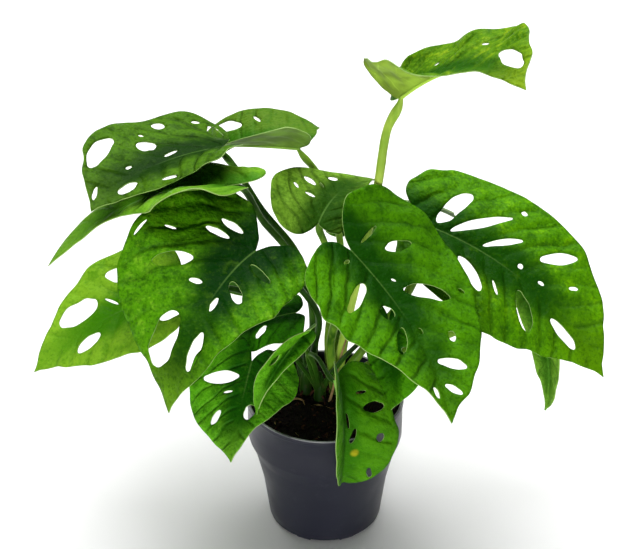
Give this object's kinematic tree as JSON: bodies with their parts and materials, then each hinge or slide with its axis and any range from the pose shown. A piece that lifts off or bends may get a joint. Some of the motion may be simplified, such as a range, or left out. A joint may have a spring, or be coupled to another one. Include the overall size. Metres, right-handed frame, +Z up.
{
  "type": "potted plant",
  "caption": "Climbing foliage plant with heart-shaped, hole-pierced leaves on long stalks, growing from soil in a round tapered plastic nursery pot with a wide upper band.",
  "frame": {"origin": "centre of the pot's flat underside", "axes": "+Z up along the pot's axis, -Y towards the front, where the two largest leaves hang, +X to the right"},
  "size_m": [0.43, 0.3008, 0.428],
  "materials": {
    "pot_plastic": "satin moulded dark grey",
    "soil": "loose dark potting mix",
    "stem": "smooth living green",
    "leaf": "semi-gloss living green",
    "leaf_light": "semi-gloss young green",
    "leaf_dark": "matte deep green"
  },
  "bodies": {
    "root": {"pot": "pot_plastic", "soil": "soil", "stem_left": "stem", "stem_right": "stem", "stem_back_left": "stem", "stem_back_right": "stem", "stem_front": "stem", "leaf_front_left": "leaf", "leaf_front_right": "leaf", "leaf_far_right": "leaf", "leaf_low_left": "leaf_light", "leaf_top": "leaf_light", "leaf_upper_left": "leaf_dark", "leaf_upper_back": "leaf", "leaf_center": "leaf_dark", "leaf_arched_left": "leaf", "leaf_over_rim_left": "leaf", "leaf_folded_small": "leaf", "leaf_hanging_right": "leaf", "leaf_over_rim_right": "leaf", "leaf_under_right": "leaf", "leaf_inner_left": "leaf_dark", "leaf_back_right": "leaf_dark", "leaf_back_left": "leaf_dark"}
  },
  "joints": []
}
